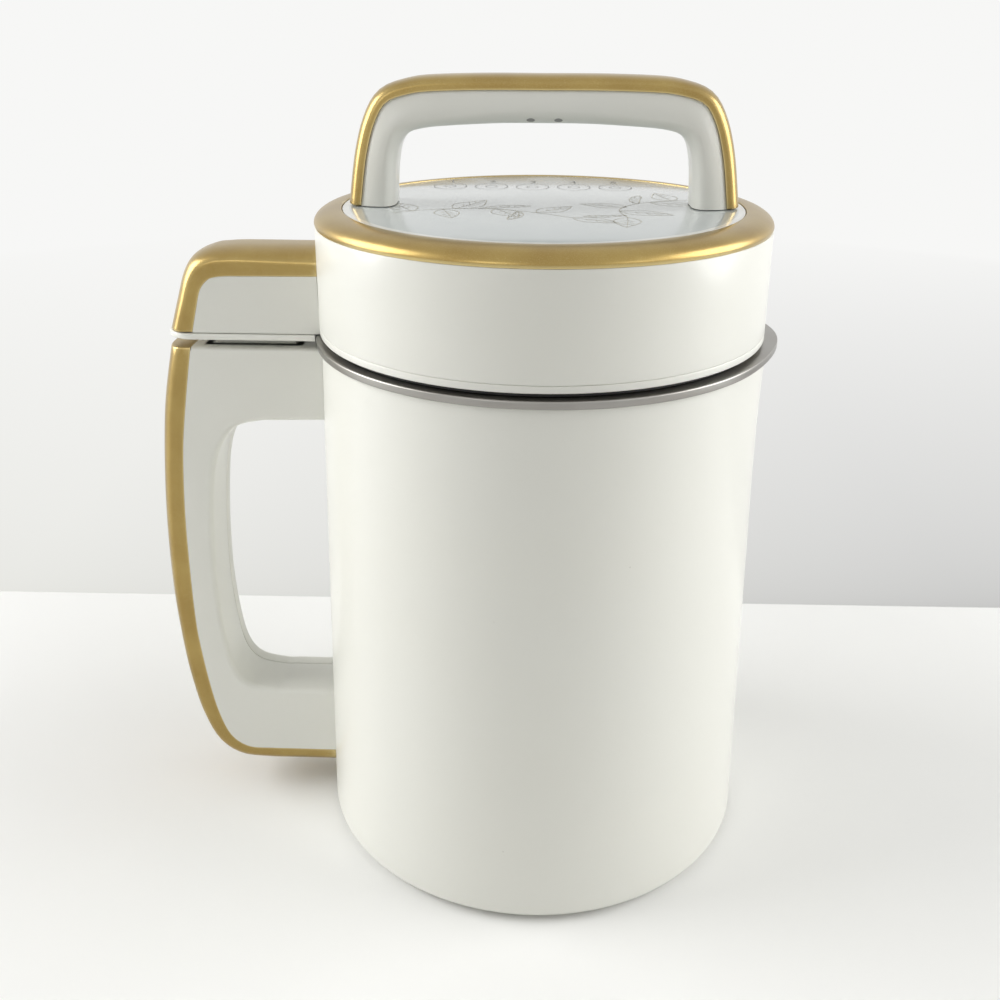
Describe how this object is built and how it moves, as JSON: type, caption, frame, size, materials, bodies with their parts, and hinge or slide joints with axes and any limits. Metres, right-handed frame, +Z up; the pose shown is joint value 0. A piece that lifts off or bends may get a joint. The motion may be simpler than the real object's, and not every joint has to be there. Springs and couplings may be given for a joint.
{
  "type": "soy milk maker",
  "caption": "Countertop soy milk maker: white jug with a gold-trimmed side handle, steel cup and lift-off motor head with a touch panel and an arched carry handle.",
  "frame": {"origin": "on the floor under the feet, at the middle of the footprint in X and Y", "axes": "+Z up; -X towards the side handle; -Y is the front that the picture shows; the jug's own axis is vertical at X = +30.7 mm, Y = 0"},
  "size_m": [0.2326, 0.1712, 0.2907],
  "materials": {
    "white_gloss": "warm white gloss",
    "gold_paint": "champagne gold metallic paint, soft gloss",
    "brushed_steel": "brushed stainless",
    "panel_print": "pale blue-grey gloss film",
    "dark_rubber": "matt black",
    "pale_rubber": "matt pale grey",
    "base_plastic": "grey, fine texture",
    "black_plastic": "black, satin",
    "aluminium": "cast, satin",
    "brass": "plain",
    "core_steel": "varnished dark grey",
    "board_green": "green solder mask"
  },
  "bodies": {
    "jug": {"outer_shell": "white_gloss", "inner_cup": "brushed_steel", "base_cover": "base_plastic", "foot_1": "pale_rubber", "foot_2": "pale_rubber", "foot_3": "pale_rubber", "base_screw_1": "brushed_steel", "base_screw_2": "brushed_steel", "base_screw_3": "brushed_steel", "base_frame": "base_plastic", "heating_plate": "aluminium", "heating_tube": "brushed_steel", "thermostat": "black_plastic", "handle_front": "white_gloss", "handle_back": "white_gloss", "handle_trim": "gold_paint", "handle_screw_upper": "brushed_steel", "handle_screw_lower": "brushed_steel", "harness": "dark_rubber", "coupler_socket": "white_gloss", "coupler_contact_1": "brass", "coupler_contact_2": "brass"},
    "head": {"head_base": "white_gloss", "seal_ring": "dark_rubber", "head_shell": "white_gloss", "block_trim": "gold_paint", "power_inlet": "black_plastic", "inlet_pin_1": "brass", "inlet_pin_2": "brass", "inlet_pin_3": "brass", "gold_ring": "gold_paint", "touch_panel": "panel_print", "control_board": "board_green", "carry_cap": "gold_paint", "carry_grip": "white_gloss", "grip_screw_1": "core_steel", "grip_screw_2": "core_steel", "coupler_plug": "white_gloss", "coupler_pin_1": "brass", "coupler_pin_2": "brass", "stator": "core_steel", "upper_bracket": "aluminium", "lower_bracket": "aluminium", "upper_bearing": "brushed_steel", "lower_bearing": "brushed_steel", "brush_holder_1": "brass", "brush_holder_2": "brass", "power_board": "board_green", "transformer": "core_steel", "lower_cover": "brushed_steel", "shaft_tube": "brushed_steel", "shaft_seal": "dark_rubber", "temperature_probe": "brushed_steel", "overflow_electrode": "brushed_steel"},
    "rotor": {"shaft": "brushed_steel", "armature": "core_steel", "commutator": "brass", "cooling_fan": "black_plastic", "blade": "brushed_steel", "blade_nut": "brass"}
  },
  "joints": [
    {"name": "head_lift", "type": "slide", "parent": "jug", "child": "head", "axis": [0, 0, 1], "range_m": [0, 0.2]},
    {"name": "rotor_spin", "type": "hinge", "parent": "head", "child": "rotor", "pos_m": [0.0307, 0, 0.15], "axis": [0, 0, 1], "continuous": true}
  ]
}
